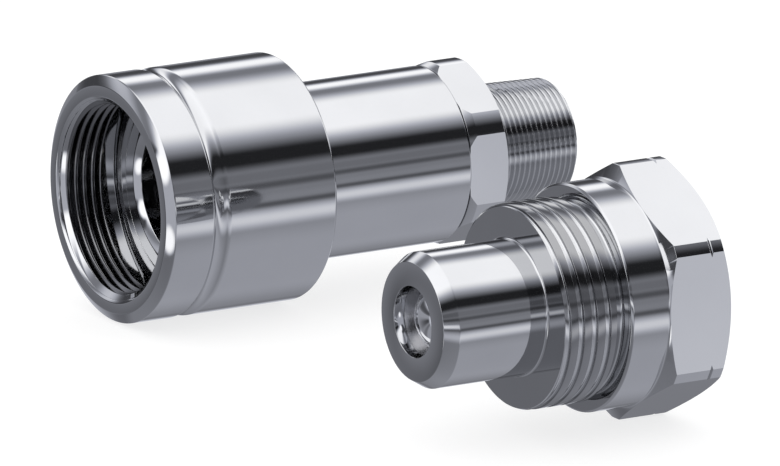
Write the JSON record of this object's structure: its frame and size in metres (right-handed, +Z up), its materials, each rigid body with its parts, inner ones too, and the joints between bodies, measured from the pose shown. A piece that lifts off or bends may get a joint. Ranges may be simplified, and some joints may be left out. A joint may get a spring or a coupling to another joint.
{
  "type": "screw-to-connect coupling",
  "caption": "Screw-to-connect high-pressure hydraulic coupling: threaded-sleeve coupler half and ball-valve nipple half, both with pipe-thread ends, lying uncoupled side by side.",
  "frame": {"origin": "middle of the pair's bounding box in plan, on the surface that both halves lie on", "axes": "+X runs along both halves from their coupling fronts to their pipe ends, +Y from the nipple half to the coupler half, +Z up"},
  "size_m": [0.072, 0.115, 0.036],
  "materials": {
    "plated_steel": "bright plated, with fine turning marks",
    "plated_sleeve": "bright plated, polished outside and turned inside",
    "ball_steel": "ground and polished",
    "valve_steel": "turned",
    "spring_steel": "drawn wire, lightly oiled",
    "seal_rubber": "matte black",
    "white_backup_plastic": "waxy white"
  },
  "bodies": {
    "coupler": {"coupler_body": "plated_steel", "sleeve_snap_ring": "spring_steel", "nose_backup_ring": "white_backup_plastic", "nose_o_ring": "seal_rubber", "poppet_guide": "valve_steel", "coupler_adapter": "plated_steel", "adapter_o_ring": "seal_rubber", "adapter_backup_ring": "white_backup_plastic"},
    "sleeve": {"locking_sleeve": "plated_sleeve"},
    "coupler_valve": {"coupler_poppet": "valve_steel", "poppet_seal": "seal_rubber", "poppet_spring": "spring_steel"},
    "nipple": {"nipple_body": "plated_steel", "ball_seat": "valve_steel", "seat_o_ring": "seal_rubber", "spring_stop": "valve_steel", "stop_snap_ring": "spring_steel"},
    "nipple_valve": {"nipple_ball": "ball_steel", "ball_follower": "valve_steel", "nipple_spring": "spring_steel"}
  },
  "joints": [
    {"name": "sleeve_spin", "type": "hinge", "parent": "coupler", "child": "sleeve", "pos_m": [-0.036, 0.04, 0.0175], "axis": [1, 0, 0], "continuous": true},
    {"name": "coupler_valve_slide", "type": "slide", "parent": "coupler", "child": "coupler_valve", "axis": [1, 0, 0], "range_m": [0, 0.003], "stiffness_N_per_m": 3000, "springref_m": -0.002, "deforming": ["poppet_spring"]},
    {"name": "nipple_slide", "type": "slide", "parent": "coupler", "child": "nipple", "axis": [-1, 0, 0], "range_m": [0, 0.01581]},
    {"name": "nipple_valve_slide", "type": "slide", "parent": "nipple", "child": "nipple_valve", "axis": [1, 0, 0], "range_m": [0, 0.003], "stiffness_N_per_m": 2500, "springref_m": -0.002, "deforming": ["nipple_spring"]}
  ]
}
